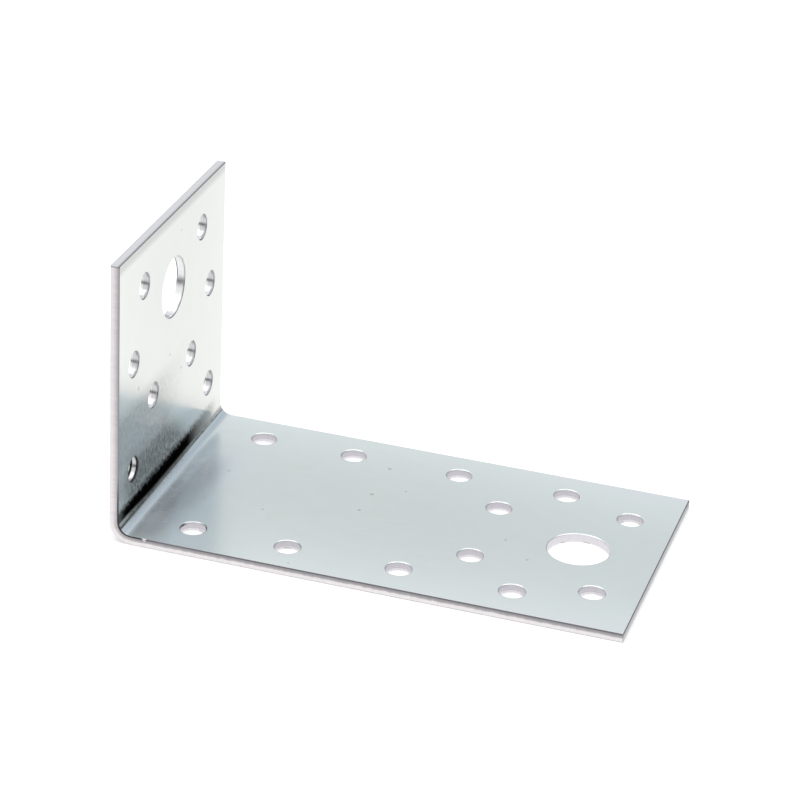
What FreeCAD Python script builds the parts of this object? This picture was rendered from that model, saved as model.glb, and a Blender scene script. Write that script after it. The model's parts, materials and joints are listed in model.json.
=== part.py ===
import FreeCAD, Part
import math
import os
import Sketcher

# Asymmetric angle bracket: one strip of steel sheet, bent once to a right angle and punched flat.
# The long leg lies along +X on z = 0 and the short leg stands up +Z at the heel.
# The origin is at the bottom centre of the bounding box, so the heel is at x = -long_leg / 2.
# Both legs carry one hole pattern, measured from their own tips; the long leg repeats its edge pair twice more.

os.makedirs("parts", exist_ok=True)
doc = FreeCAD.newDocument("AngleBracket")

# Driving sizes, in millimetres
sizes = {
    "long_leg": 100.0,
    "short_leg": 57.0,
    "strip_width": 55.0,
    "sheet_thickness": 1.75,
    "inner_bend_radius": 2.5,
    "nail_hole_diameter": 5.0,
    "bolt_hole_diameter": 12.0,
    "edge_pair_spacing": 40.0,
    "inner_pair_spacing": 20.0,
    "end_pair_spacing": 30.0,
    "end_pair_from_tip": 9.0,
    "bolt_hole_from_tip": 15.5,
    "front_pair_from_tip": 23.0,
    "inner_pair_from_tip": 34.0,
    "middle_pair_from_tip": 45.0,
    "rear_pair_from_tip": 67.0,
    "heel_pair_from_tip": 86.0,
    "punch_roll": 0.25,
    "edge_roll": 0.18,
}

sheet = doc.addObject("Spreadsheet::Sheet", "Sizes")
for row, (alias, value) in enumerate(sizes.items(), start=1):
    sheet.set(f"A{row}", alias)
    sheet.set(f"B{row}", str(value))
    sheet.setAlias(f"B{row}", alias)
doc.recompute()

# Pairs of nail holes: distance from the leg's tip and spacing across the strip
tip_pairs = {
    "EndPair": ("end_pair_from_tip", "end_pair_spacing"),
    "FrontPair": ("front_pair_from_tip", "edge_pair_spacing"),
    "InnerPair": ("inner_pair_from_tip", "inner_pair_spacing"),
    "MiddlePair": ("middle_pair_from_tip", "edge_pair_spacing"),
}
long_leg_pairs = {
    **tip_pairs,
    "RearPair": ("rear_pair_from_tip", "edge_pair_spacing"),
    "HeelPair": ("heel_pair_from_tip", "edge_pair_spacing"),
}


def origin_plane(body, role):
    """One of the body's own origin planes."""
    return next(feature for feature in body.Origin.OriginFeatures if feature.Role == role)


def new_sketch(body, name, role):
    """An empty sketch lying on one of the body's origin planes."""
    sketch = body.newObject("Sketcher::SketchObject", name)
    sketch.AttachmentSupport = [(origin_plane(body, role), "")]
    sketch.MapMode = "FlatFace"
    return sketch


def size_constraint(sketch, name, size, kind, *where, share=1.0):
    """A dimension of the sketch that follows one size of the sheet, or a share of it."""
    index = sketch.addConstraint(Sketcher.Constraint(kind, *where, share * sizes[size]))
    sketch.renameConstraint(index, name)
    sketch.setExpression(f"Constraints.{name}", f"{share} * Sizes.{size}")


# Side profile of the bent strip

def strip_profile(body):
    """The two legs and the bend between them, as one closed outline in the XZ plane."""
    sketch = new_sketch(body, "StripProfile", "XZ_Plane")
    heel = -sizes["long_leg"] / 2
    tip = sizes["long_leg"] / 2
    top = sizes["short_leg"]
    thick = sizes["sheet_thickness"]
    inner = sizes["inner_bend_radius"]
    outer = inner + thick

    corners = [(tip, 0), (heel + outer, 0), (heel, outer), (heel, top),
               (heel + thick, top), (heel + thick, outer), (heel + outer, thick), (tip, thick)]
    points = [FreeCAD.Vector(x, z, 0) for x, z in corners]
    centre = FreeCAD.Vector(heel + outer, outer, 0)
    upright = FreeCAD.Vector(0, 0, 1)
    quarter_turn = (math.pi, 1.5 * math.pi)

    seat = sketch.addGeometry(Part.LineSegment(points[0], points[1]))
    outer_bend = sketch.addGeometry(Part.ArcOfCircle(Part.Circle(centre, upright, outer), *quarter_turn))
    back = sketch.addGeometry(Part.LineSegment(points[2], points[3]))
    short_tip = sketch.addGeometry(Part.LineSegment(points[3], points[4]))
    front = sketch.addGeometry(Part.LineSegment(points[4], points[5]))
    inner_bend = sketch.addGeometry(Part.ArcOfCircle(Part.Circle(centre, upright, inner), *quarter_turn))
    floor = sketch.addGeometry(Part.LineSegment(points[6], points[7]))
    long_tip = sketch.addGeometry(Part.LineSegment(points[7], points[0]))

    start, end, middle = 1, 2, 3
    for first, first_end, second, second_end in (
            (seat, end, outer_bend, end), (outer_bend, start, back, start),
            (front, end, inner_bend, start), (inner_bend, end, floor, start)):
        sketch.addConstraint(Sketcher.Constraint("Tangent", first, first_end, second, second_end))
    for first, second in ((back, short_tip), (short_tip, front), (floor, long_tip), (long_tip, seat)):
        sketch.addConstraint(Sketcher.Constraint("Coincident", first, end, second, start))
    for line in (seat, short_tip, floor):
        sketch.addConstraint(Sketcher.Constraint("Horizontal", line))
    for line in (back, front, long_tip):
        sketch.addConstraint(Sketcher.Constraint("Vertical", line))
    sketch.addConstraint(Sketcher.Constraint("Coincident", outer_bend, middle, inner_bend, middle))
    sketch.addConstraint(Sketcher.Constraint("PointOnObject", seat, start, -1))

    size_constraint(sketch, "LongLeg", "long_leg", "DistanceX", back, end, seat, start)
    size_constraint(sketch, "HalfLength", "long_leg", "DistanceX", -1, start, seat, start, share=0.5)
    size_constraint(sketch, "ShortLeg", "short_leg", "DistanceY", seat, start, back, end)
    size_constraint(sketch, "Thickness", "sheet_thickness", "DistanceX", short_tip, start, short_tip, end)
    size_constraint(sketch, "InnerBend", "inner_bend_radius", "Radius", inner_bend)
    return sketch


# Holes of one leg, seen on its outer face with the sketch's X running from the tip to the heel

def punch_sketch(body, name, role, pairs):
    """Nail holes in mirrored pairs and one bolt hole on the centreline, all measured from the tip."""
    sketch = new_sketch(body, name, role)
    x_axis, centre, root = -1, 3, (-1, 1)
    nail_radius = sizes["nail_hole_diameter"] / 2
    upright = FreeCAD.Vector(0, 0, 1)
    first_nail = None
    for label, (from_tip, spacing) in pairs.items():
        left, right = [
            sketch.addGeometry(Part.Circle(FreeCAD.Vector(sizes[from_tip], side * sizes[spacing] / 2, 0),
                                           upright, nail_radius))
            for side in (1, -1)]
        sketch.addConstraint(Sketcher.Constraint("Symmetric", left, centre, right, centre, x_axis))
        sketch.addConstraint(Sketcher.Constraint("Equal", left, right))
        size_constraint(sketch, f"{label}FromTip", from_tip, "DistanceX", *root, left, centre)
        size_constraint(sketch, f"{label}Spacing", spacing, "DistanceY", right, centre, left, centre)
        if first_nail is None:
            first_nail = left
            size_constraint(sketch, "NailHole", "nail_hole_diameter", "Diameter", left)
        else:
            sketch.addConstraint(Sketcher.Constraint("Equal", first_nail, left))
    bolt = sketch.addGeometry(Part.Circle(FreeCAD.Vector(sizes["bolt_hole_from_tip"], 0, 0), upright,
                                          sizes["bolt_hole_diameter"] / 2))
    sketch.addConstraint(Sketcher.Constraint("PointOnObject", bolt, centre, x_axis))
    size_constraint(sketch, "BoltHoleFromTip", "bolt_hole_from_tip", "DistanceX", *root, bolt, centre)
    size_constraint(sketch, "BoltHole", "bolt_hole_diameter", "Diameter", bolt)
    return sketch


def punch(body, name, sketch):
    """Cut the sketched holes from the outer face through the leg to the inside of the angle."""
    pocket = body.newObject("PartDesign::Pocket", name)
    pocket.Profile = sketch
    pocket.Type = "Length"
    pocket.setExpression("Length", "Sizes.sheet_thickness")
    pocket.Reversed = True
    return pocket


def dress_edges(body, kind, name, base, edges, dimension, size):
    """Fillet or chamfer the chosen edges of the base feature by one size of the sheet."""
    dressed = body.newObject(kind, name)
    dressed.Base = (base, edges)
    dressed.setExpression(dimension, f"Sizes.{size}")
    doc.recompute()
    return dressed


# The bent strip
body = doc.addObject("PartDesign::Body", "Bracket")
body.Label = "angle_bracket"
profile = strip_profile(body)
doc.recompute()

strip = body.newObject("PartDesign::Pad", "BentStrip")
strip.Profile = profile
strip.SideType = "Symmetric"
strip.setExpression("Length", "Sizes.strip_width")
doc.recompute()

# Punched holes of the long leg: the sketch lies on z = 0 with its origin at the tip
long_holes = punch_sketch(body, "LongLegHoles", "XY_Plane", long_leg_pairs)
long_holes.AttachmentOffset = FreeCAD.Placement(FreeCAD.Vector(sizes["long_leg"] / 2, 0, 0),
                                                FreeCAD.Rotation(FreeCAD.Vector(0, 0, 1), 180))
long_holes.setExpression("AttachmentOffset.Base.x", "Sizes.long_leg / 2")
doc.recompute()
long_punch = punch(body, "LongLegPunch", long_holes)
doc.recompute()

# Punched holes of the short leg: the sketch lies on the outer face with its origin at the upper tip
short_holes = punch_sketch(body, "ShortLegHoles", "YZ_Plane", tip_pairs)
short_holes.AttachmentOffset = FreeCAD.Placement(
    FreeCAD.Vector(0, sizes["short_leg"], -sizes["long_leg"] / 2),
    FreeCAD.Rotation(FreeCAD.Vector(0, 0, 1), -90))
short_holes.setExpression("AttachmentOffset.Base.y", "Sizes.short_leg")
short_holes.setExpression("AttachmentOffset.Base.z", "-Sizes.long_leg / 2")
doc.recompute()
short_punch = punch(body, "ShortLegPunch", short_holes)
doc.recompute()

# Rolled rims, where the punches entered the sheet: the circles on the two inner faces
near = 1e-4
heel_x = -sheet.long_leg / 2
inner_x = heel_x + sheet.sheet_thickness
inner_z = sheet.sheet_thickness


def on_inner_faces(point):
    """Whether a point lies on the inner face of either leg."""
    return abs(point.x - inner_x) < near or abs(point.z - inner_z) < near


rims = [f"Edge{number}" for number, edge in enumerate(short_punch.Shape.Edges, start=1)
        if isinstance(edge.Curve, Part.Circle) and edge.Closed and on_inner_faces(edge.Curve.Center)]
rim_roll = dress_edges(body, "PartDesign::Chamfer", "PunchRoll", short_punch, rims, "Size", "punch_roll")

# Rolled outline of the same inner faces, along both sides, round the bend and across the tips
side_y = sheet.strip_width / 2
bend_z = sheet.sheet_thickness + sheet.inner_bend_radius


def on_outline(edge):
    """Whether an edge is part of the inner faces' sheared outline."""
    ends = [vertex.Point for vertex in edge.Vertexes]
    if len(ends) != 2 or not all(on_inner_faces(point) for point in ends):
        return False
    along_side = all(abs(abs(point.y) - side_y) < near for point in ends) and ends[0].y * ends[1].y > 0
    across_tip = all(abs(point.z - sheet.short_leg) < near for point in ends)
    across_tip = across_tip or all(abs(point.x - sheet.long_leg / 2) < near for point in ends)
    return along_side or across_tip


outline = [f"Edge{number}" for number, edge in enumerate(rim_roll.Shape.Edges, start=1) if on_outline(edge)]
edge_roll = dress_edges(body, "PartDesign::Fillet", "EdgeRoll", rim_roll, outline, "Radius", "edge_roll")
body.Tip = edge_roll
doc.recompute()

print("rims rolled", len(rims), "outline edges rolled", len(outline))
for step in (strip, long_punch, short_punch, rim_roll, edge_roll):
    print(step.Name, "volume", round(step.Shape.Volume, 3))
for sketch in (profile, long_holes, short_holes):
    print(sketch.Name, "fully constrained", sketch.FullyConstrained)

# Nothing is written unless every feature came out sound
for item in doc.Objects:
    if "Invalid" in item.State or "Error" in item.State:
        raise RuntimeError(f"{item.Name} failed: {item.State}")
shape = body.Shape
if shape.isNull() or not shape.isValid() or len(shape.Solids) != 1:
    raise RuntimeError("the bracket is not one valid solid")
shape.exportStep(os.path.join("parts", body.Label + ".step"))
box = shape.BoundBox
print("box", [round(v, 3) for v in (box.XMin, box.XMax, box.YMin, box.YMax, box.ZMin, box.ZMax)])
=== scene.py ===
import json
import math

import bpy
import numpy as np
from mathutils import Matrix, Vector


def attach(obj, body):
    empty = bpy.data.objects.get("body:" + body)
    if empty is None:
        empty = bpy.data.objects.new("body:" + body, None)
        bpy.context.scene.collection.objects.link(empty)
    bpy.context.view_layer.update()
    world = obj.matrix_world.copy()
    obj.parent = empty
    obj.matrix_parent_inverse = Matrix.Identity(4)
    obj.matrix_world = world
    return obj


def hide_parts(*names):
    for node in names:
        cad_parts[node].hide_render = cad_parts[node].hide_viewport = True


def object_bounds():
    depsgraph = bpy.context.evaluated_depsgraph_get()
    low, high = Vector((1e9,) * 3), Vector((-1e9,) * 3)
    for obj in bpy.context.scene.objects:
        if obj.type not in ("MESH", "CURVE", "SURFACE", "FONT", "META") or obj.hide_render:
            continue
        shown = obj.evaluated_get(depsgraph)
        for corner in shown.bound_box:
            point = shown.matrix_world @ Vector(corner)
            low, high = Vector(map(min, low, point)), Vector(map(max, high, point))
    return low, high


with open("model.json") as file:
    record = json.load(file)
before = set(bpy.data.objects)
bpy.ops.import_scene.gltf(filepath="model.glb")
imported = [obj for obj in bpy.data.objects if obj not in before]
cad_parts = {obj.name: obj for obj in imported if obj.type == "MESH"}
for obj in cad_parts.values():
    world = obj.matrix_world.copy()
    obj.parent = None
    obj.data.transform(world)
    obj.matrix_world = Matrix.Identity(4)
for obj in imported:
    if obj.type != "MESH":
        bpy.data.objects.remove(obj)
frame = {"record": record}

cadBox = [list(corner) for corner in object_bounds()]
low, high = cadBox
print("frame loaded, box", [[round(v * 1000, 2) for v in corner] for corner in cadBox], "mm")

# Punched holes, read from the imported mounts.
# A hole is (x or z along its leg, y across the strip, radius), in metres.

def readHoles(legAxis):
    # A pattern's holes stand at centre plus or minus half of each spacing, a bore is a single hole.
    holes = []
    for mount in frame["record"]["mounts"]:
        if mount["kind"] == "flat_face" or [abs(round(v)) for v in mount["axis"]] != legAxis:
            continue
        dims = mount["dims"]
        along = 2 if legAxis[0] else 0
        centre = (mount["pos_m"][along], mount["pos_m"][1])
        if mount["kind"] == "bore":
            holes.append((*centre, dims["r_mm"] / 1000))
            continue
        spacing = (dims.get("spacing_x_mm", 0) / 2000, dims.get("spacing_y_mm", 0) / 2000)
        stepAlong, stepAcross = (spacing[1], spacing[0]) if along == 2 else spacing
        for a in sorted({-stepAlong, stepAlong}):
            for b in (-stepAcross, stepAcross):
                holes.append((centre[0] + a, centre[1] + b, dims["hole_r_mm"] / 1000))
    return holes


# Bent and punched sheet

sheet = {
    "thickness": 0.00175,
    "bendRadius": 0.002,      # at the middle of the bend; with the fade it follows the solid's 2.5 mm arc
    "bendFade": 0.00045,      # the curvature fades out over about this length at either end of the bend
    "bendRunIn": 0.0032,      # how far beyond the bend the mesh is fine and the fade is followed
    "edgeRoll": 0.00018,      # how far the slit edges roll over
    "punchRoll": 0.00025,     # width of the rolled rim round a hole
    "punchDepth": 0.0002,     # how deep that rim sinks
    "land": 0.45,             # depth of a hole's burnished land, as a share of the thickness
    "tearFrom": 0.52,         # depth where the torn part begins
    "tearStep": 0.4,          # how much of the tear is open there
    "tear": 0.00005,          # how much wider a hole is where the slug tore out
    "edgeRows": (0.45, 0.55),  # rows of the mesh on the outer edges, as shares of the thickness
    "pitch": 0.0009,          # spacing of the mesh on the flats
    "support": 0.00004,       # narrow ring that keeps a flat's normals flat
    "borderShare": 0.005,     # and the same at a hole cell's border, as a share of the way to the rim
    "boltCell": 1.22,         # half length of a bolt hole's cell, in radii
    "bendSteps": 56,
    "bendTable": 4001,
    "rollSteps": 5,
    "ringSteps": 4,
    "sharpAngle": 40,
    "digits": 7,              # places are rounded to so many digits of a metre, so that cells meet and weld
    "slack": 0.000001,        # and compared with this slack
}

width = high[1] - low[1]
thick = sheet["thickness"]
innerX = low[0] + thick
bendRadius = sheet["bendRadius"]
bendLength = bendRadius * math.pi / 2


def bendCourse():
    # The bend seen from the side, as a fine table of turn, x and z at even steps along the inner face.
    # The curvature is 1 / radius, faded at both ends by a logistic step, so the turn is fade / radius times
    # softplus((s - start) / fade) - softplus((s - end) / fade), and x and z sum its sine and cosine.
    fade, radius = sheet["bendFade"], bendRadius
    reach = bendLength / 2 + sheet["bendRunIn"]
    s = np.linspace(-reach, reach, sheet["bendTable"])
    rise = np.logaddexp(0, (s + bendLength / 2) / fade) - np.logaddexp(0, (s - bendLength / 2) / fade)
    turn = fade / radius * rise
    turn = (turn - turn[0]) / (turn[-1] - turn[0]) * math.pi / 2
    step = s[1] - s[0]
    x = np.concatenate([[0], np.cumsum(np.sin((turn[1:] + turn[:-1]) / 2))]) * step
    z = np.concatenate([[0], np.cumsum(np.cos((turn[1:] + turn[:-1]) / 2))]) * step
    return turn, x, z


bendTurn, bendX, bendZ = bendCourse()
bendFrom = round(high[2] - thick - bendZ[-1], sheet["digits"])
bendTo = round(bendFrom + bendLength + 2 * sheet["bendRunIn"], sheet["digits"])
stripLength = bendTo + high[0] - innerX - bendX[-1]


def aboveBend(*heights):
    # Where along the strip points of the short leg lie, from their heights above the start of the bend.
    return [bendFrom - height for height in heights]


def inBend(*turns):
    # Where along the strip the bend has turned by so many degrees.
    shares = np.linspace(0, 1, len(bendTurn))
    reached = np.interp([math.radians(turn) for turn in turns], bendTurn, shares)
    return [bendFrom + (bendTo - bendFrom) * float(share) for share in reached]


def longLegPlace(x):
    # Where along the strip a point of the long leg lies, from its x in the frame.
    return bendTo + x - innerX - bendX[-1]


def fromHeel(*distances):
    # The same, from distances to the heel's outer face.
    return [longLegPlace(low[0] + distance) for distance in distances]


def foldStrip(u, v, depth):
    # u runs along the inner face from the short leg's tip to the long leg's, v across the strip and depth into
    # it. On the flats the point stands straight off its leg. In the bend it is the table's point at that share
    # of the bend's length, moved by depth along the normal (-cos turn, -sin turn).
    share = np.clip((u - bendFrom) / (bendTo - bendFrom), 0, 1) * (len(bendTurn) - 1)
    turn, x, z = (np.interp(share, np.arange(len(bendTurn)), table) for table in (bendTurn, bendX, bendZ))
    x = innerX + x + np.maximum(u - bendTo, 0) - depth * np.cos(turn)
    z = thick + bendZ[-1] - z + np.maximum(bendFrom - u, 0) - depth * np.sin(turn)
    return np.stack([x, v, z], axis=-1)


def splitSpan(start, end, pitch):
    # Evenly spaced values from start to end, no further apart than pitch.
    return np.linspace(start, end, max(2, math.ceil((end - start) / pitch) + 1))


def gatherValues(breaks, pitch):
    # One rising list of values that holds every break, with even steps between.
    spans = [splitSpan(a, b, pitch) for a, b in zip(breaks[:-1], breaks[1:])]
    return np.unique(np.round(np.concatenate(spans), sheet["digits"]))


def perimeter(us, vs):
    # The four sides of a cell in order, each corner once: out along u, up v, back along u, down v.
    return np.concatenate([
        np.stack([us[:-1], np.full(len(us) - 1, vs[0])], -1),
        np.stack([np.full(len(vs) - 1, us[-1]), vs[:-1]], -1),
        np.stack([us[:0:-1], np.full(len(us) - 1, vs[-1])], -1),
        np.stack([np.full(len(vs) - 1, us[0]), vs[:0:-1]], -1)])


class Surface:
    # Collects patches of quads, then welds them into one closed mesh.
    def __init__(self):
        self.points, self.faces, self.count = [], [], 0

    def add(self, u, v, depth, cut=0.0, slit=0.0, top=0.0, tip=0.0, closed=False):
        # A patch is a grid of rows by columns; a closed one joins its last column to its first.
        # cut is 1 on walls and edges and 0 on the faces; slit, top and tip are 1 on the outer edges alone.
        index = np.arange(u.size).reshape(u.shape) + self.count
        right = np.roll(index, -1, axis=1)
        if not closed:
            index, right = index[:, :-1], right[:, :-1]
        quads = np.stack([index[:-1], right[:-1], right[1:], index[1:]], -1).reshape(-1, 4)
        columns = [np.broadcast_to(column, u.shape) for column in (u, v, depth, cut, slit, top, tip)]
        self.points.append(np.stack(columns, -1).reshape(-1, len(columns)))
        self.faces.append(quads)
        self.count += u.size

    def weld(self):
        # Points that share place become one.
        points = np.concatenate(self.points)
        faces = np.concatenate(self.faces)
        keys = np.round(points[:, :3] * 10 ** sheet["digits"]).astype(np.int64)
        _, first, inverse = np.unique(keys, axis=0, return_index=True, return_inverse=True)
        return points[first], inverse.reshape(-1)[faces]


def rollProfile(start, sinkWidth, sinkDepth, steps):
    # Quarter ellipse from the face into the sheet: offset = width * sin a, depth = sinkDepth * (1 - cos a).
    a = np.linspace(0, math.pi / 2, steps + 1)
    return start + sinkWidth * np.sin(a), sinkDepth * (1 - np.cos(a))


def addHoleCell(surface, us, vs, centre, radius):
    # Rings shrink from the cell's border to the rim, roll over it, go down the wall and open out again below.
    # Each ring lies at centre + distance * direction, with the directions of the border's own points.
    border = perimeter(us, vs)
    spoke = border - centre
    angle = np.arctan2(spoke[:, 1], spoke[:, 0])
    direction = np.stack([np.cos(angle), np.sin(angle)], -1)
    reach = np.linalg.norm(spoke, axis=1)

    rim = radius + sheet["punchRoll"]
    support, tear, borderShare = sheet["support"], sheet["tear"], sheet["borderShare"]
    shares = np.insert(np.linspace(0, 1, sheet["ringSteps"] + 1), 1, borderShare)
    face = [reach * (1 - s) + (rim + support) * s for s in shares]
    offset, rollDepth = rollProfile(0, sheet["punchRoll"], sheet["punchDepth"], sheet["rollSteps"])
    roll = [np.full_like(reach, rim - step) for step in offset]
    wallDepths = [sheet["land"] * thick, sheet["tearFrom"] * thick, thick - support, thick]
    wallRadii = [radius, radius + sheet["tearStep"] * tear, radius + tear, radius + tear]
    wall = [np.full_like(reach, r) for r in wallRadii]
    below = [(radius + tear + support) * (1 - s) + reach * s for s in (0, 0.5, 1 - borderShare, 1)]

    rings = np.array(face + roll + wall + below)
    depth = np.concatenate([np.zeros(len(face)), rollDepth, wallDepths, np.full(len(below), thick)])
    cut = np.concatenate([np.zeros(len(face)), np.linspace(0, 1, len(roll)), np.ones(len(wall)),
                          np.zeros(len(below))])
    u = centre[0] + rings * direction[:, 0]
    v = centre[1] + rings * direction[:, 1]
    surface.add(u, v, depth[:, None], cut[:, None], closed=True)


def addPlainCell(surface, us, vs):
    # The same flat or bent patch on both faces, the lower one turned over.
    v, u = np.meshgrid(vs, us, indexing="ij")
    surface.add(u[::-1], v[::-1], np.zeros_like(u))
    surface.add(u, v, np.full_like(u, thick))


def addEdgeBand(surface, us, vs):
    # The slit edge carried round the whole strip: over the roll, down the edge and in to the lower face.
    border = perimeter(us, vs)
    sideU = np.where(border[:, 0] == us[0], -1.0, np.where(border[:, 0] == us[-1], 1.0, 0.0))
    sideV = np.where(border[:, 1] == vs[0], -1.0, np.where(border[:, 1] == vs[-1], 1.0, 0.0))
    roll = sheet["edgeRoll"]
    offset, rollDepth = rollProfile(0, roll, roll, sheet["rollSteps"])
    offset = np.concatenate([offset, [roll, roll, roll, 0]])
    depth = np.concatenate([rollDepth, [row * thick for row in sheet["edgeRows"]], [thick, thick]])
    cut = np.concatenate([[0], np.ones(len(rollDepth) + 2), [0]])
    u = border[:, 0] + offset[:, None] * sideU
    v = border[:, 1] + offset[:, None] * sideV
    surface.add(u[::-1], v[::-1], depth[::-1, None], cut[::-1, None], 1.0, np.maximum(-sideU, 0),
                np.maximum(sideU, 0), closed=True)


def boltHole(holes):
    # The one hole on the strip's middle line.
    return next(hole for hole in holes if hole[1] == 0)


def boltBand(holes):
    # The line between the bolt hole's rim and the rims of the pair that stands closest to the middle.
    return (boltHole(holes)[2] + min(v - r for u, v, r in holes if v > 0)) / 2


def buildSheet():
    # The flat pattern in cells: one round each hole, plain ones between, the bend, and the edge all round.
    roll, support, slack = sheet["edgeRoll"], sheet["support"], sheet["slack"]
    nearV, farV = low[1] + roll, high[1] - roll
    startU, endU = roll, stripLength - roll
    shortHoles = [(high[2] - z, y, r) for z, y, r in readHoles([1, 0, 0])]
    longHoles = [(longLegPlace(x), y, r) for x, y, r in readHoles([0, 0, 1])]
    band = min(boltBand(shortHoles), boltBand(longHoles))
    legs = [(startU, bendFrom, shortHoles), (bendTo, endU, longHoles)]
    breaksU, cells = [startU, startU + support, endU - support, endU], []
    for legStart, legEnd, holes in legs:
        side = sorted({(u, v, r) for u, v, r in holes if v > 0})
        cuts = [legStart] + [(a[0] + b[0]) / 2 for a, b in zip(side[:-1], side[1:])] + [legEnd]
        bolt = boltHole(holes)
        boltCuts = [bolt[0] - bolt[2] * sheet["boltCell"], bolt[0] + bolt[2] * sheet["boltCell"]]
        breaksU += cuts + boltCuts
        for hole, a, b in zip(side, cuts[:-1], cuts[1:]):
            cells.append((a, b, band, farV, hole))
            cells.append((a, b, nearV, -band, (hole[0], -hole[1], hole[2])))
        cells.append((*boltCuts, -band, band, bolt))
        cells.append((legStart, boltCuts[0], -band, band, None))
        cells.append((boltCuts[1], legEnd, -band, band, None))
    for a, b in ((nearV, -band), (-band, band), (band, farV)):
        cells.append((bendFrom, bendTo, a, b, None))

    allU = gatherValues(sorted(set(np.round(breaksU, sheet["digits"]))), sheet["pitch"])
    bendU = np.round(np.linspace(bendFrom, bendTo, sheet["bendSteps"] + 1), sheet["digits"])
    allU = np.concatenate([allU[allU < bendFrom - slack], bendU, allU[allU > bendTo + slack]])
    breaksV = np.round([nearV, nearV + support, -band, band, farV - support, farV], sheet["digits"])
    allV = gatherValues(breaksV, sheet["pitch"])

    surface = Surface()
    for a, b, c, d, hole in cells:
        us = allU[(allU > a - slack) & (allU < b + slack)]
        vs = allV[(allV > c - slack) & (allV < d + slack)]
        if hole:
            addHoleCell(surface, us, vs, np.array(hole[:2]), hole[2])
        else:
            addPlainCell(surface, us, vs)
    addEdgeBand(surface, allU, allV)
    return surface.weld()


def countOpenEdges(faces):
    # Sides that don't belong to exactly two faces.
    sides = np.concatenate([faces[:, [a, (a + 1) % 4]] for a in range(4)])
    _, uses = np.unique(np.sort(sides, axis=1), axis=0, return_counts=True)
    return int((uses != 2).sum())


def makeMesh(name, points, faces, material):
    # Fold the flat pattern and hand its points, faces, strip coordinates and cut mask to a mesh.
    mesh = bpy.data.meshes.new(name)
    place = foldStrip(points[:, 0], points[:, 1], points[:, 2])
    mesh.from_pydata(place.tolist(), [], faces.tolist())
    strip = mesh.uv_layers.new(name="strip")
    corner = np.zeros(len(mesh.loops), dtype=np.int32)
    mesh.loops.foreach_get("vertex_index", corner)
    strip.data.foreach_set("uv", points[corner, :2].astype(np.float32).ravel())
    points[:, 2] /= thick
    for column, label in enumerate(("depth", "cut", "slit", "top", "tip"), start=2):
        attribute = mesh.attributes.new(label, "FLOAT", "POINT")
        attribute.data.foreach_set("value", points[:, column].astype(np.float32))
    mesh.shade_smooth()
    mesh.set_sharp_from_angle(angle=math.radians(sheet["sharpAngle"]))
    mesh.materials.append(material)
    piece = bpy.data.objects.new(name, mesh)
    bpy.context.scene.collection.objects.link(piece)
    return piece


# Zinc finish

zinc = {
    "color": (0.92, 0.945, 0.915, 1),
    "patina": (0.895, 0.93, 0.885, 1),   # faint greenish patches in the plating
    "haze": (0.8, 0.85, 0.88, 1),        # haze of fine scuffs on the heel of the long leg
    "hazeShare": 0.24,         # how much of it reflects as dull paint does, not as metal
    "shortGain": 0.05,         # how much brighter the plating is at the long edges, on the short leg
    "longGain": 0.14,          # and on the long leg
    "plainSquare": 0.6,        # plain plating lies where the place across, in half widths, has this square
    "roughness": 0.22,
    "polish": 0.1,             # how much smoother the sheet is where the bending tool pressed it
    "cutRoughness": 0.3,
    "streakHeight": 0.0000005,
    "stripRoughness": 0.4,     # dull strip that the tool's nose left inside the bend
    "stripShade": 0.85,
    "wall": {                  # hole walls: rolled rim (0), burnished land, torn part (1)
        0.0: (0.88, 0.88, 0.88),
        0.13: (0.82, 0.82, 0.83),
        0.2: (0.72, 0.71, 0.74),
        0.66: (0.74, 0.73, 0.76),
        0.71: (0.6, 0.6, 0.62),
        0.76: (0.94, 0.93, 0.93),
        1.0: (0.94, 0.93, 0.93),
    },
    "slit": {                  # the long leg's long edges, cut from a wider strip
        0.0: (0.34, 0.33, 0.35),
        0.16: (0.36, 0.35, 0.37),
        0.34: (0.45, 0.43, 0.45),
        0.48: (0.58, 0.55, 0.57),
        0.58: (0.95, 0.91, 0.92),
        0.92: (0.97, 0.93, 0.94),
        1.0: (0.35, 0.34, 0.36),
    },
    "shortSlit": {             # and the short leg's
        0.0: (0.36, 0.34, 0.36),
        0.12: (0.48, 0.45, 0.47),
        0.3: (0.66, 0.62, 0.64),
        0.55: (0.84, 0.79, 0.81),
        0.75: (0.96, 0.91, 0.92),
        1.0: (0.96, 0.91, 0.92),
    },
    "top": {                   # the short leg's sheared tip
        0.0: (0.42, 0.4, 0.41),
        0.14: (0.66, 0.63, 0.64),
        0.3: (0.97, 0.93, 0.93),
        0.9: (0.98, 0.95, 0.95),
        1.0: (0.7, 0.67, 0.67),
    },
    "tip": {                   # the long leg's sheared tip
        0.0: (0.3, 0.29, 0.31),
        0.12: (0.36, 0.35, 0.37),
        0.5: (0.46, 0.44, 0.46),
        1.0: (0.6, 0.58, 0.6),
    },
}


def addNode(tree, kind, inputs=(), **settings):
    # One node with its settings, and its plain values and incoming links as {socket: value or output}.
    node = tree.nodes.new("ShaderNode" + kind)
    for name, value in settings.items():
        setattr(node, name, value)
    for socket, value in dict(inputs).items():
        if isinstance(value, bpy.types.NodeSocket):
            tree.links.new(value, node.inputs[socket])
        else:
            node.inputs[socket].default_value = value
    return node


def addMath(tree, operation, *values):
    return addNode(tree, "Math", dict(enumerate(values)), operation=operation).outputs[0]


def addMix(tree, factor, a, b):
    return addNode(tree, "Mix", {"Factor": factor, "A": a, "B": b}, data_type="RGBA").outputs["Result"]


def addRamp(tree, factor, table):
    # A colour ramp from {position: colour}.
    ramp = addNode(tree, "ValToRGB", {0: factor})
    stops = ramp.color_ramp.elements
    while len(stops) < len(table):
        stops.new(0.5)
    for stop, (position, color) in zip(stops, sorted(table.items())):
        stop.position = position
        stop.color = (*color, 1)
    return ramp.outputs[0]


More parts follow.
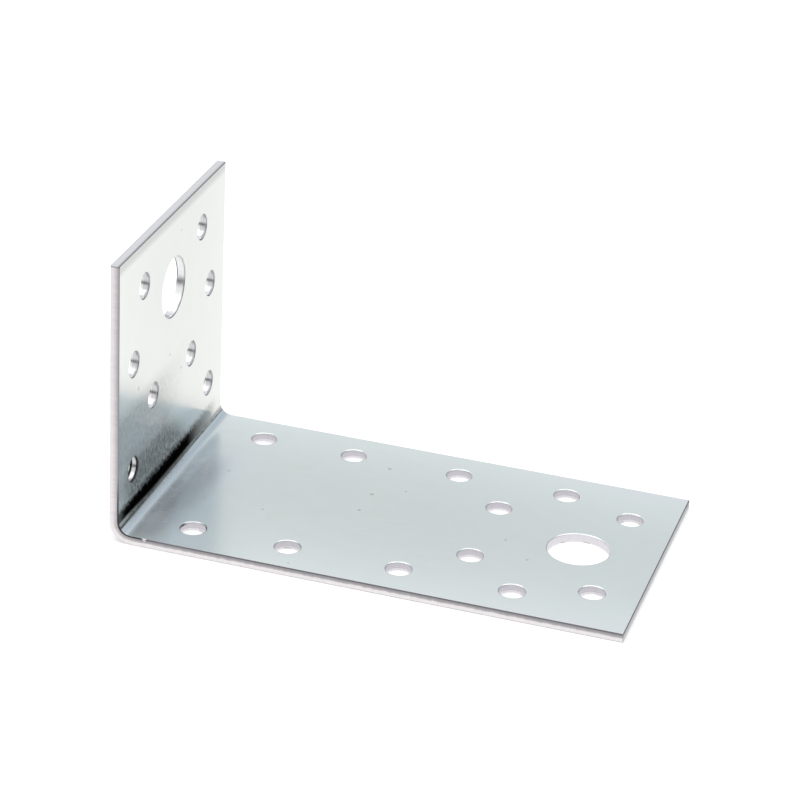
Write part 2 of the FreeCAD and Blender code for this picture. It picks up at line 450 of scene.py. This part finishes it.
def addRange(tree, value, start, end, low=0.0, high=1.0):
    # A smooth step of value from low at start to high at end.
    inputs = {"Value": value, "From Min": start, "From Max": end, "To Min": low, "To Max": high}
    return addNode(tree, "MapRange", inputs, interpolation_type="SMOOTHSTEP").outputs[0]


def addProduct(tree, *values):
    # All the values multiplied together.
    product = values[0]
    for value in values[1:]:
        product = addMath(tree, "MULTIPLY", product, value)
    return product


def addFades(tree, value, fades):
    # The product of smooth steps of value, each given as start, end and what it is worth at either.
    return addProduct(tree, *(addRange(tree, value, *fade) for fade in fades))


def addBand(tree, value, rise, fall):
    # 1 between two smooth steps: up while value goes through rise and down while it goes through fall.
    return addFades(tree, value, ((*rise, 0.0, 1.0), (*fall, 1.0, 0.0)))


def addTint(tree, color, factor):
    # A colour multiplied by a value or by another colour.
    inputs = {"Factor": 1.0, "A": color, "B": factor}
    return addNode(tree, "Mix", inputs, data_type="RGBA", blend_type="MULTIPLY").outputs["Result"]


def addGrain(tree, strip, scale, detail=2.0, roughness=0.5):
    # Noise over the strip, with its own scale along and across it, in features per metre.
    stretched = addNode(tree, "VectorMath", {0: strip, 1: (*scale, 1)}, operation="MULTIPLY").outputs[0]
    inputs = {"Vector": stretched, "Scale": 1.0, "Detail": detail, "Roughness": roughness}
    return addNode(tree, "TexNoise", inputs, noise_dimensions="2D").outputs["Fac"]


def addSpots(tree, strip, scale, size, rarity):
    # Small spots, one to a cell at most, in the cells whose random value beats rarity. A spot's radius is a
    # random part of size, and its edge is soft.
    stretched = addNode(tree, "VectorMath", {0: strip, 1: (*scale, 1)}, operation="MULTIPLY").outputs[0]
    cells = addNode(tree, "TexVoronoi", {"Vector": stretched, "Scale": 1.0}, voronoi_dimensions="2D")
    chance = addNode(tree, "SeparateXYZ", {0: cells.outputs["Color"]})
    chosen = addMath(tree, "GREATER_THAN", chance.outputs["X"], rarity)
    radius = addMath(tree, "MULTIPLY", chance.outputs["Y"], size)
    inside = addMath(tree, "SUBTRACT", radius, cells.outputs["Distance"])
    soft = 0.3 * size
    return addProduct(tree, addRange(tree, inside, 0.0, soft), chosen)


# Marks of rolling and of use, and painted shade round the bend, in metres
# A rise is where a mark begins and where it is full, a fall where it starts to fade and where it is gone. Both
# are heights above the bend, distances from the heel or degrees of the bend. Fades run across the strip.

marks = {
    "grains": {                   # noise, in features per metre along and across the strip
        "streaks": {"scale": (260, 5200), "detail": 3, "roughness": 0.6},
        "grit": {"scale": (2600, 4200), "detail": 2},
        "patches": {"scale": (110, 160), "detail": 4, "roughness": 0.6},
        "smudges": {"scale": (330, 900), "detail": 4, "roughness": 0.65},
        "blots": {"scale": (900, 1700), "detail": 5, "roughness": 0.7},
    },
    "spots": {                    # cells per metre, size in cells, and the share of cells that stay bare
        "specks": {"scale": (170, 170), "size": 0.09, "rarity": 0.86},
        "wornSpecks": {"scale": (700, 900), "size": 0.3, "rarity": 0.75},
        "scratches": {"scale": (330, 2300), "size": 0.34, "rarity": 0.93},
    },
    "span": (0.3, 0.7),           # most values of a grain lie in this span
    "grainShades": {"streaks": 0.06, "patches": 0.06},    # how far a grain lightens and darkens the plating
    "speckShade": -0.22,
    "patina": (0.5, 0.75),        # the patches that are greenish
    "relief": {"grit": 0.3, "plain": 0.6, "worn": 0.2},   # grit in the bump, and how strong the bump is
    "polish": {"rise": (0.006, 0), "fall": (60, 85)},
    "tipRoll": (0.001, 0.0026, 0.24, 0.0),        # painted shade, darker where the short leg's sheared tip rolls over
    "tipGlow": 0.05,              # the long leg is this much brighter at its own tip
    "tipGlowFrom": 0.04,          # beginning so far from the bend
    "skew": (-0.025, -0.01, 0.0005, 0.0),         # how far marks in the bend move up at the near edge
    # the short leg's foot: wear marks, and a painted shade that darkens it towards the bend
    "wear": {
        "rise": (0.0105, 0.0045),
        "fall": (-0.004, -0.0055),
        "levelTo": -0.004,        # its upper edge is level up to here across the strip
        "slope": 0.5,             # and comes down by this much of the way beyond
        "mottling": (0.58, 1.04),
        "fades": ((0.001, 0.013, 1.0, 0.0), (-0.0265, -0.02, 0.35, 1.0)),
        # dark is the painted shade, the others are wear marks
        "shades": {"dark": -0.75, "wornSpecks": -0.2, "streaks": -0.1, "scratches": 0.4},
        "dull": 0.35,
    },
    # painted black shade along the bend, for the dark reflection in its corner
    "tarnish": {
        "rise": (0.0004, -0.0018),
        "fall": (16, 32),
        "ragged": (0.0036, 0.0005),               # how ragged its upper and its lower edge are
        "fades": ((0.008, 0.02, 1.0, 0.5), (0.018, 0.0255, 1.0, 0.0), (-0.0272, -0.024, 0.85, 1.0)),
        "shade": -0.995,
    },
    "strip": {
        "turns": (20, 33),
        "softness": (0.0001, 0.0002),
        "ragged": 0.0006,
        "skew": 0.6,
        "ends": ((0.008, 0.026, 0.0, 0.55), (-0.0265, -0.022, 0.3, 0.0)),     # how scuffed its ends are
    },
    # painted shade for the long leg's darker reflection on the short leg
    "veil": {
        "rise": (0.021, 0.016),
        "fall": (0.0095, 0.0065),
        "fades": ((-0.014, 0.009, 1.0, 0.0),),
        "depth": (0.2, 0.4),
    },
    "cloud": {
        "rise": (0.005, 0.007),
        "fall": (0.0085, 0.0135),
        "fades": ((-0.028, -0.01, 0.0, 1.0), (0.001, 0.0125, 1.0, 0.0)),
        "shade": -0.26,
    },
    "haze": {
        "rise": (40, 60),
        "fall": (0.005, 0.024),
        "fades": ((0.005, 0.02, 1.0, 0.3),),
        "unevenness": (0.8, 1.2),
    },
}


def addWearAndShade(group, field):
    # The mask is 1 on the foot of the short leg, under an upper edge that comes down by slope * (v - levelTo)
    # towards the far side, and it ends inside the bend. It carries wear marks and a painted shade that darkens
    # the foot towards the bend. Dark is that painted shade's mottling, weaker at both sides.
    look = marks["wear"]
    beyond = addMath(group, "MAXIMUM", addMath(group, "SUBTRACT", field["across"], look["levelTo"]), 0.0)
    lowered = addMath(group, "MULTIPLY_ADD", beyond, -look["slope"], field["along"])
    wear = addProduct(group, addRange(group, lowered, *aboveBend(*look["rise"])),
                      addRange(group, field["along"], *aboveBend(*look["fall"]), 1.0, 0.0), field["inner"])
    dark = addProduct(group, addRange(group, field["blots"], *marks["span"], *look["mottling"]),
                      addFades(group, field["across"], look["fades"]))
    return wear, dark


def addPaintedBendShade(group, field):
    # A painted black shade lies along the bend, for the dark reflection and shade in its corner. Its edges are
    # ragged with the blots, its lower edge moves up by skew at the near edge, and it thins out towards both
    # sides.
    look = marks["tarnish"]
    upper, lower = (addMath(group, "MULTIPLY_ADD", field["uneven"], ragged, field["along"])
                    for ragged in look["ragged"])
    lower = addMath(group, "ADD", lower, field["skew"])
    return addProduct(group, addRange(group, upper, *aboveBend(*look["rise"])),
                      addRange(group, lower, *inBend(*look["fall"]), 1.0, 0.0), field["inner"],
                      addFades(group, field["across"], look["fades"]))


def addStrip(group, field):
    # The dull strip that the tool's nose left lies between two turns of the bend, with slightly ragged edges.
    look = marks["strip"]
    first, last = inBend(*look["turns"])
    firstSoft, lastSoft = look["softness"]
    smudge = addMath(group, "SUBTRACT", field["smudges"], 0.5)
    edge = addMath(group, "MULTIPLY_ADD", smudge, look["ragged"], field["along"])
    lastEdge = addMath(group, "MULTIPLY_ADD", field["skew"], look["skew"], edge)
    return addProduct(group, addRange(group, edge, first - firstSoft, first + firstSoft),
                      addRange(group, lastEdge, last - lastSoft, last + lastSoft, 1.0, 0.0), field["inner"])


def addPaintedReflectionShade(group, field):
    # Painted shade for the long leg's darker reflection, above the worn foot on the near half of the short
    # leg, mottled with the blots.
    look = marks["veil"]
    band = addBand(group, field["along"], aboveBend(*look["rise"]), aboveBend(*look["fall"]))
    return addProduct(group, band, field["inner"], addFades(group, field["across"], look["fades"]),
                      addRange(group, field["blots"], *marks["span"], *look["depth"]))


def addCloud(group, field):
    # A soft darker cloud on the long leg, a few millimetres from the bend.
    look = marks["cloud"]
    band = addBand(group, field["along"], fromHeel(*look["rise"]), fromHeel(*look["fall"]))
    return addProduct(group, band, field["inner"], addFades(group, field["across"], look["fades"]))


def addHaze(group, field):
    # Haze of fine scuffs from inside the bend out over the heel of the long leg, uneven with the patches.
    look = marks["haze"]
    band = addBand(group, field["along"], inBend(*look["rise"]), fromHeel(*look["fall"]))
    return addProduct(group, band, field["inner"], addFades(group, field["across"], look["fades"]),
                      addRange(group, field["patches"], *marks["span"], *look["unevenness"]))


def sheetGrain():
    # Rolling marks, patches, specks and wear of the sheet, and painted shade round the bend, over the strip's
    # coordinates in metres. Shade multiplies the plating's brightness and carries the painted shade, Height is
    # for a bump, and the others are masks.
    group = bpy.data.node_groups.new("sheetGrain", "ShaderNodeTree")
    group.interface.new_socket("Strip", in_out="INPUT", socket_type="NodeSocketVector")
    for name in ("Shade", "Patina", "Height", "Polish", "Strip", "Dull", "Haze"):
        group.interface.new_socket(name, in_out="OUTPUT", socket_type="NodeSocketFloat")
    strip = group.nodes.new("NodeGroupInput").outputs[0]
    place = addNode(group, "SeparateXYZ", {0: strip})
    depth = addNode(group, "Attribute", attribute_name="depth").outputs["Fac"]
    field = {"along": place.outputs["X"], "across": place.outputs["Y"]}
    field["inner"] = addMath(group, "LESS_THAN", depth, 0.5)        # 1 on the inner face, 0 on the outer one
    for name, settings in marks["grains"].items():
        field[name] = addGrain(group, strip, **settings)
    for name, settings in marks["spots"].items():
        field[name] = addSpots(group, strip, **settings)
    field["uneven"] = addMath(group, "SUBTRACT", field["blots"], 0.5)
    field["skew"] = addRange(group, field["across"], *marks["skew"])
    wear, field["dark"] = addWearAndShade(group, field)
    tarnish, strike, haze = addPaintedBendShade(group, field), addStrip(group, field), addHaze(group, field)

    shade = 1.0
    for name, share in marks["grainShades"].items():
        shade = addMath(group, "MULTIPLY_ADD", addMath(group, "SUBTRACT", field[name], 0.5), share, shade)
    shade = addMath(group, "MULTIPLY_ADD", field["specks"], marks["speckShade"], shade)
    # wear marks on the foot, and its dark mottling as painted shade
    for name, share in marks["wear"]["shades"].items():
        shade = addMath(group, "MULTIPLY_ADD", addProduct(group, wear, field[name]), share, shade)
    # painted shade of the long leg's reflection
    shade = addMath(group, "SUBTRACT", shade, addPaintedReflectionShade(group, field))
    shade = addMath(group, "MULTIPLY_ADD", addCloud(group, field), marks["cloud"]["shade"], shade)
    # painted shade along the short leg's sheared tip
    shade = addMath(group, "SUBTRACT", shade, addRange(group, field["along"], *marks["tipRoll"]))
    glow = addRange(group, field["along"], bendTo + marks["tipGlowFrom"], stripLength, 0.0, marks["tipGlow"])
    shade = addMath(group, "ADD", shade, glow)
    # the painted black shade along the bend darkens the colour almost to black
    shade = addProduct(group, shade, addMath(group, "MULTIPLY_ADD", tarnish, marks["tarnish"]["shade"], 1.0))

    relief = marks["relief"]
    height = addMath(group, "MULTIPLY_ADD", field["grit"], relief["grit"], field["streaks"])
    height = addProduct(group, height, addMath(group, "MULTIPLY_ADD", wear, relief["worn"], relief["plain"]))
    pressed = marks["polish"]
    polish = addBand(group, field["along"], aboveBend(*pressed["rise"]), inBend(*pressed["fall"]))
    # the painted black shade in the bend, the foot's wear and painted-shade mottling and the scuffed ends of
    # the strip reflect as dull paint does, not as metal
    ends = addMath(group, "ADD", *(addRange(group, field["across"], *end) for end in marks["strip"]["ends"]))
    footWearAndShade = addProduct(group, wear, field["dark"], marks["wear"]["dull"])
    dull = addMath(group, "MAXIMUM", addProduct(group, ends, strike), tarnish)
    dull = addMath(group, "MAXIMUM", dull, footWearAndShade)
    patina = addRange(group, field["patches"], *marks["patina"])
    out = group.nodes.new("NodeGroupOutput")
    for name, value in (("Shade", shade), ("Patina", patina), ("Height", height), ("Polish", polish),
                        ("Strip", strike), ("Dull", dull), ("Haze", haze)):
        group.links.new(value, out.inputs[name])
    return group


# Bands on the cuts, with painted shade and painted light in some holes
# Depths are shares of the thickness, from the inner face, and lengths are in metres.

cutLook = {
    "grains": {                   # noise, in features per metre along and across the strip
        "wander": {"scale": (700, 700), "detail": 3, "roughness": 0.6},
        "burrs": {"scale": (170, 170)},
        "scuffs": {"scale": (3000, 3000), "detail": 2},
    },
    "wander": 0.5,                # how strongly the bands wander, most in the middle of the thickness
    "scuffs": (0.16, 0.92),       # the colour is multiplied by this share of the scuffs plus this value
    # dark of the burr lines and of the painted shade in the holes
    "dark": (0.03, 0.03, 0.03, 1),
    # black of the painted shade on the arris round the bend and of the corner at the short leg's tip
    "black": (0, 0, 0, 1),
    "rim": (0.1, 0.17, 1.0, 0.0),         # the rolled rim or arris ends over these depths
    "rimShare": 0.5,              # how dark the rims are painted on the short leg, a painted shade
    "bolt": (0.0064, 0.007, 1.0, 0.0),    # how close to the strip's middle line a bolt hole's wall lies
    # painted light: a bolt hole's wall is painted brighter than the other walls
    "boltShare": 0.85,
    "boltColor": (1, 0.99, 1, 1),
    "upperLine": (0.88, 0.93),            # depth of the dark line along the upper bolt hole's back rim
    "upperEnd": (0.0155, 0.0165, 1.0, 0.0),       # and how far from the short leg's tip it ends
    # painted shade on the flanks of the lowest hole on the near side
    "lowest": (0.01, 0.0085),             # heights above the bend where the lowest hole begins
    "nearHalf": (-0.002, 0.0, 1.0, 0.0),
    "flanks": ((0.2, 0.34, 1.0, 0.0), (0.68, 0.76, 0.0, 1.0)),
    # painted shade at the ends of the near heel hole
    "heelRise": 0.001,            # the heel hole lies between the bend's end
    "heelFall": (0.028, 0.03),    # and these distances from the heel
    "heelShare": 0.9,
    "ends": (0.0009, 0.0019, 1.0, 0.0),   # how far from the hole's own middle line its dark ends reach
    "endsDepth": (0.22, 0.34, 1.0, 0.0),
    "burrDepth": (0.9, 0.95),
    "burrSpan": (0.55, 0.6),
    "burrShare": 0.6,
    # painted shade: how dark the arris is round the bend
    "arris": {"rise": (0.008, 0), "share": 0.85, "ease": (-0.002, 0.003), "eased": 0.45},
    "nick": {                     # a nick in the near edge of the long leg
        "fromHeel": 0.007,
        "taper": 0.0012,
        "reach": (0.0003, 0.0006, 1.0, 0.0),
        "side": (-0.001, 0.0, 1.0, 0.0),
        "color": (0.8, 0.78, 0.79, 1),
    },
    "corner": (0.0002, 0.0005, 0.6, 0.0),
}


def addHoleWall(group, field):
    # Bands down a hole's wall, painted brighter in the bolt holes as painted light, and dark with painted
    # shade and burr lines in the places named below.
    along, across, depth = field["along"], field["across"], field["depth"]
    bolt = addRange(group, addMath(group, "ABSOLUTE", across), *cutLook["bolt"])
    wall = addRamp(group, field["banded"], zinc["wall"])
    # painted light in the bolt holes
    wall = addMix(group, addProduct(group, bolt, cutLook["boltShare"]), wall, cutLook["boltColor"])

    # painted shade makes the rims darker on the short leg, and its bolt hole has a dark line along the upper
    # back rim
    rimShare = addMath(group, "MULTIPLY_ADD", field["onLong"], -cutLook["rimShare"], cutLook["rimShare"])
    upper = addProduct(group, bolt, addRange(group, along, *cutLook["upperEnd"]))
    # painted shade: the hole close to the bend on the near side is dark on both flanks
    lowest = addProduct(group, addRange(group, along, *aboveBend(*cutLook["lowest"])),
                        addRange(group, across, *cutLook["nearHalf"]))
    lowest = addMath(group, "MAXIMUM", addMath(group, "SUBTRACT", lowest, field["onLong"]), 0.0)
    flanks = addMath(group, "ADD", *(addRange(group, depth, *flank) for flank in cutLook["flanks"]))
    # painted shade: the near heel hole darkens where its rim faces along the leg
    heel = addBand(group, along, (bendTo, bendTo + cutLook["heelRise"]), fromHeel(*cutLook["heelFall"]))
    nearRow = min(y for x, y, r in readHoles([0, 0, 1]))
    fromCentre = addMath(group, "ABSOLUTE", addMath(group, "SUBTRACT", across, nearRow))
    ends = addProduct(group, addRange(group, fromCentre, *cutLook["ends"]),
                      addRange(group, depth, *cutLook["endsDepth"]))
    # burrs show as broken dark lines
    burrs = addProduct(group, addRange(group, depth, *cutLook["burrDepth"]),
                       addRange(group, field["burrs"], *cutLook["burrSpan"]))
    darkest = ((field["rim"], rimShare),
               (addRange(group, depth, *cutLook["upperLine"]), upper),
               (flanks, lowest),
               (ends, addProduct(group, heel, cutLook["heelShare"])),
               (burrs, cutLook["burrShare"]))
    for mask, share in darkest:
        wall = addMix(group, addProduct(group, mask, share), wall, cutLook["dark"])
    return wall


def addLongEdge(group, field):
    # Bands down a long edge. Its arris is painted darkest round the bend, a painted shade.
    along = field["along"]
    shortBands, longBands = (addRamp(group, field["banded"], zinc[name]) for name in ("shortSlit", "slit"))
    edge = addMix(group, field["onLong"], shortBands, longBands)
    arris = cutLook["arris"]
    easing = [bendTo + step for step in arris["ease"]]
    strength = addMath(group, "SUBTRACT",
                       addRange(group, along, *aboveBend(*arris["rise"]), 0.0, arris["share"]),
                       addRange(group, along, *easing, 0.0, arris["eased"]))
    edge = addMix(group, addProduct(group, field["rim"], strength), edge, cutLook["black"])
    # the nick is a bright wedge that narrows with depth, and the corner at the short leg's tip is dark
    nick = cutLook["nick"]
    reach = addMath(group, "ABSOLUTE", addMath(group, "SUBTRACT", along, *fromHeel(nick["fromHeel"])))
    reach = addMath(group, "MULTIPLY_ADD", field["depth"], nick["taper"], reach)
    wedge = addProduct(group, addRange(group, reach, *nick["reach"]),
                       addRange(group, field["across"], *nick["side"]))
    edge = addMix(group, wedge, edge, nick["color"])
    return addMix(group, addRange(group, along, *cutLook["corner"]), edge, cutLook["black"])


def edgeBands():
    # Colour across the thickness of a hole wall or an outer edge. The bands wander a little with the noise,
    # by wander * (noise - 0.5) * the distance to the nearer face.
    group = bpy.data.node_groups.new("edgeBands", "ShaderNodeTree")
    group.interface.new_socket("Strip", in_out="INPUT", socket_type="NodeSocketVector")
    group.interface.new_socket("Color", in_out="OUTPUT", socket_type="NodeSocketColor")
    strip = group.nodes.new("NodeGroupInput").outputs[0]
    place = addNode(group, "SeparateXYZ", {0: strip})
    field = {"along": place.outputs["X"], "across": place.outputs["Y"]}
    for name in ("depth", "slit", "top", "tip"):
        field[name] = addNode(group, "Attribute", attribute_name=name).outputs["Fac"]
    for name, settings in cutLook["grains"].items():
        field[name] = addGrain(group, strip, **settings)
    wander = addProduct(group, addMath(group, "SUBTRACT", field["wander"], 0.5),
                        addMath(group, "PINGPONG", field["depth"], 0.5))
    field["banded"] = addMath(group, "MULTIPLY_ADD", wander, cutLook["wander"], field["depth"])
    field["rim"] = addRange(group, field["depth"], *cutLook["rim"])
    field["onLong"] = addRange(group, field["along"], bendFrom, bendTo)
    color = addHoleWall(group, field)
    for name, band in (("slit", addLongEdge(group, field)),
                       ("top", addRamp(group, field["banded"], zinc["top"])),
                       ("tip", addRamp(group, field["banded"], zinc["tip"]))):
        color = addMix(group, field[name], color, band)
    scuffs = addMath(group, "MULTIPLY_ADD", field["scuffs"], *cutLook["scuffs"])
    out = group.nodes.new("NodeGroupOutput")
    group.links.new(addTint(group, color, scuffs), out.inputs["Color"])
    return group


def zincMaterial():
    # Plating on the faces and bands on the cuts, with painted shade round the bend and in some holes and
    # painted light in the bolt holes. Towards the long edges the plating is brighter, by gain * ((v / half
    # width) squared - plainSquare).
    material = bpy.data.materials.new("zincPlate")
    material.use_nodes = True
    tree = material.node_tree
    shader = tree.nodes["Principled BSDF"]
    strip = addNode(tree, "UVMap", uv_map="strip").outputs[0]
    place = addNode(tree, "SeparateXYZ", {0: strip})
    cut = addNode(tree, "Attribute", attribute_name="cut").outputs["Fac"]
    grain = addNode(tree, "Group", node_tree=sheetGrain())
    bands = addNode(tree, "Group", node_tree=edgeBands())
    for group in (grain, bands):
        tree.links.new(strip, group.inputs["Strip"])

    off = addMath(tree, "DIVIDE", place.outputs["Y"], width / 2)
    gain = addRange(tree, place.outputs["X"], bendFrom, bendTo, zinc["shortGain"], zinc["longGain"])
    squared = addMath(tree, "SUBTRACT", addProduct(tree, off, off), zinc["plainSquare"])
    brighter = addMath(tree, "ADD", addProduct(tree, squared, gain), 1.0)
    struck = addMath(tree, "MULTIPLY_ADD", grain.outputs["Strip"], zinc["stripShade"] - 1, 1.0)
    plating = addMix(tree, grain.outputs["Patina"], zinc["color"], zinc["patina"])
    plating = addMix(tree, grain.outputs["Haze"], plating, zinc["haze"])
    plating = addTint(tree, plating, addProduct(tree, brighter, grain.outputs["Shade"], struck))
    tree.links.new(addMix(tree, cut, plating, bands.outputs["Color"]), shader.inputs["Base Color"])

    rough = addMath(tree, "MULTIPLY_ADD", grain.outputs["Polish"], -zinc["polish"], zinc["roughness"])
    for mask, value in ((grain.outputs["Strip"], zinc["stripRoughness"]), (cut, zinc["cutRoughness"])):
        change = addProduct(tree, mask, addMath(tree, "SUBTRACT", value, rough))
        rough = addMath(tree, "ADD", rough, change)
    tree.links.new(rough, shader.inputs["Roughness"])
    # where it is dull it is not metal at all, and with no specular level it has no gloss either
    bare = addMath(tree, "MULTIPLY_ADD", grain.outputs["Haze"], zinc["hazeShare"], grain.outputs["Dull"])
    bare = addProduct(tree, bare, addMath(tree, "SUBTRACT", 1.0, cut))
    tree.links.new(addMath(tree, "SUBTRACT", 1.0, bare), shader.inputs["Metallic"])
    shader.inputs["Specular IOR Level"].default_value = 0.0
    relief = {"Height": grain.outputs["Height"], "Distance": zinc["streakHeight"], "Strength": 1.0}
    tree.links.new(addNode(tree, "Bump", relief).outputs[0], shader.inputs["Normal"])
    return material


# Floor, lamp and room

stage = {
    "floorSize": 6.0,
    "floorTop": -0.00002,       # just below the bracket
    "floorColor": (0.8, 0.8, 0.8, 1),
    "floorGlow": 0.25,          # lifts the lit floor to white for the camera
    "mirror": {                 # the floor in the metal, by how grazing the ray is (1 is level)
        0.0: (0.97, 0.97, 0.97),
        0.66: (0.97, 0.97, 0.97),
        0.8: (0.6, 0.62, 0.63),
        0.91: (0.06, 0.065, 0.065),
        1.0: (0.02, 0.022, 0.022),
    },
    "underColor": (0.82, 0.8, 0.84, 1),   # and under the bracket, a painted shadow
    "underFade": (-0.002, 0.0005),        # where that ends, from the bracket's outline
    "farShade": 0.85,           # how dark it is in the metal close behind the far edge
    "farFade": (0.0015, 0.0125),          # where that ends, from the edge
    "ring": {                   # light above the horizon, by bearing from behind the object, clockwise
        -170: (0.95, 0.95, 0.95),
        -90: (0.8, 0.82, 0.82),
        -40: (0.74, 0.79, 0.81),
        -16: (0.7, 0.74, 0.77),
        -8: (0.67, 0.72, 0.76),
        4: (0.47, 0.53, 0.59),
        12: (0.45, 0.52, 0.59),
        21: (0.42, 0.49, 0.56),
        28: (0.5, 0.57, 0.64),
        45: (0.5, 0.56, 0.62),
        58: (0.36, 0.39, 0.42),
        112: (0.36, 0.38, 0.4),
        126: (0.6, 0.61, 0.62),
        150: (0.75, 0.76, 0.76),
        175: (0.95, 0.95, 0.95),
    },
    "overhead": (0.98, 0.99, 0.99, 1),
    "overheadFrom": 0.7,        # height on the sky, as a sine, where the overhead light begins and is full
    "overheadFull": 0.86,
    "softBox": 2.0,             # how bright that light is in the metal
    "ceiling": (0.66, 0.69, 0.7, 1),   # the darker ceiling straight above
    "ceilingFrom": 0.925,       # where it begins and is full
    "ceilingFull": 0.96,
    "horizonDark": 0.006,       # how bright the room is at the horizon, as a share of the light above it
    "horizonFrom": 0.09,        # height, as a sine, where it begins to brighten and where it is full
    "horizonTop": 0.24,
    "lampHeight": 0.8,
    "lampSize": 0.8,
    "lampPower": 4.5,
}


def floorMaterial():
    # White to the camera, while the lit part keeps the shadow; in the metal it darkens towards the horizon,
    # and a painted shadow darkens it under the bracket and close behind its far edge.
    material = bpy.data.materials.new("paleFloor")
    material.use_nodes = True
    tree = material.node_tree
    shader = tree.nodes["Principled BSDF"]
    path = addNode(tree, "LightPath")
    shader.inputs["Base Color"].default_value = stage["floorColor"]
    shader.inputs["Roughness"].default_value = 0.9
    shader.inputs["Specular IOR Level"].default_value = 0.0
    shader.inputs["Emission Color"].default_value = (1, 1, 1, 1)
    glow = addMath(tree, "MULTIPLY", path.outputs["Is Camera Ray"], stage["floorGlow"])
    tree.links.new(glow, shader.inputs["Emission Strength"])

    place = addNode(tree, "SeparateXYZ", {0: addNode(tree, "TexCoord").outputs["Object"]})
    # painted shadow in the metal under the bracket and close behind its far edge
    under = 1.0
    for axis, edge in (("X", high[0]), ("Y", high[1])):
        off = addMath(tree, "ABSOLUTE", place.outputs[axis])
        inside = addRange(tree, off, *(edge + step for step in stage["underFade"]), 1.0, 0.0)
        under = addProduct(tree, under, inside)
    away = place.outputs["Y"]
    behind = addProduct(tree, addRange(tree, away, *(high[1] + step for step in stage["farFade"]), 1.0, 0.0),
                        addMath(tree, "GREATER_THAN", away, high[1]))
    shade = addMath(tree, "MULTIPLY_ADD", behind, stage["farShade"] - 1, 1.0)
    grazing = addNode(tree, "LayerWeight", {"Blend": 0.5}).outputs["Facing"]
    around = addTint(tree, addRamp(tree, grazing, stage["mirror"]), shade)
    mirror = addNode(tree, "Emission", {"Color": addMix(tree, under, around, stage["underColor"])})
    both = addNode(tree, "MixShader", {0: path.outputs["Is Glossy Ray"], 1: shader.outputs[0],
                                       2: mirror.outputs[0]})
    tree.links.new(both.outputs[0], tree.nodes["Material Output"].inputs["Surface"])
    return material


def buildStage():
    # A white floor just under the bracket and a soft square lamp above it.
    size, top = stage["floorSize"], stage["floorTop"]
    corners = [(-size, -size, top), (size, -size, top), (size, size, top), (-size, size, top)]
    mesh = bpy.data.meshes.new("floor")
    mesh.from_pydata(corners, [], [(0, 1, 2, 3)])
    mesh.materials.append(floorMaterial())
    floor = bpy.data.objects.new("floor", mesh)
    bpy.context.scene.collection.objects.link(floor)

    light = bpy.data.lights.new("overhead", "AREA")
    light.size = stage["lampSize"]
    light.energy = stage["lampPower"]
    lamp = bpy.data.objects.new("overhead", light)
    lamp.location = (0, 0, stage["lampHeight"])
    lamp.visible_glossy = False        # the metal mirrors the room alone
    bpy.context.scene.collection.objects.link(lamp)


def buildWorld():
    # The room's colour follows the bearing atan2(x, y) round it and is dark near the horizon. Overhead light
    # takes over as z rises, brighter in the metal as a soft box is, and straight above is a darker ceiling.
    # The camera sees plain white.
    world = bpy.data.worlds.new("studio")
    bpy.context.scene.world = world
    world.use_nodes = True
    tree = world.node_tree
    split = addNode(tree, "SeparateXYZ", {0: addNode(tree, "TexCoord").outputs["Generated"]})
    height = split.outputs["Z"]
    path = addNode(tree, "LightPath")
    bearing = addMath(tree, "ARCTAN2", split.outputs["X"], split.outputs["Y"])
    turn = addMath(tree, "MULTIPLY_ADD", bearing, 0.5 / math.pi, 0.5)
    ring = addRamp(tree, turn, {(degrees + 180) / 360: color for degrees, color in stage["ring"].items()})
    room = addRange(tree, height, stage["horizonFrom"], stage["horizonTop"], stage["horizonDark"], 1.0)
    strength = addMath(tree, "MULTIPLY_ADD", path.outputs["Is Glossy Ray"], stage["softBox"] - 1, 1.0)
    lift = addRange(tree, height, stage["overheadFrom"], stage["overheadFull"])
    sky = addMix(tree, lift, addTint(tree, ring, room), addTint(tree, stage["overhead"], strength))
    above = addRange(tree, height, stage["ceilingFrom"], stage["ceilingFull"])
    sky = addMix(tree, above, sky, stage["ceiling"])
    shown = addMix(tree, path.outputs["Is Camera Ray"], sky, (1, 1, 1, 1))
    tree.links.new(shown, tree.nodes["Background"].inputs["Color"])


# Camera

camera = {
    "location": (0.13947, -0.49054, 0.28056),
    "bearing": 16.114,
    "elevation": 26.472,
    "roll": 2.980,
    "focalPixels": 3014.2,
    "picturePixels": 800,
    "sensor": 36,               # millimetres
    "clip": (0.01, 30),
}


def buildCamera():
    # back points from the object to the lens; the picture is turned by roll about it.
    a, e, r = (math.radians(camera[k]) for k in ("bearing", "elevation", "roll"))
    back = Vector((math.sin(a) * math.cos(e), -math.cos(a) * math.cos(e), math.sin(e)))
    level = Vector((math.cos(a), math.sin(a), 0))
    upright = back.cross(level)
    right = level * math.cos(r) + upright * math.sin(r)
    up = upright * math.cos(r) - level * math.sin(r)
    data = bpy.data.cameras.new("camera")
    data.sensor_width = camera["sensor"]
    data.lens = camera["focalPixels"] / camera["picturePixels"] * data.sensor_width
    data.clip_start, data.clip_end = camera["clip"]
    holder = bpy.data.objects.new("camera", data)
    turn = Matrix((right, up, back)).transposed()
    holder.matrix_world = Matrix.Translation(camera["location"]) @ turn.to_4x4()
    bpy.context.scene.collection.objects.link(holder)
    bpy.context.scene.camera = holder


buildCamera()
print("camera set")
buildStage()
buildWorld()
print("stage set")
points, faces = buildSheet()
bracket = makeMesh("bracketSheet", points, faces, zincMaterial())
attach(bracket, "root")
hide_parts("angle_bracket")
print("bracket meshed", len(points), "points", len(faces), "faces, open edges", countOpenEdges(faces))

scene = bpy.context.scene
scene.view_settings.view_transform = "Standard"
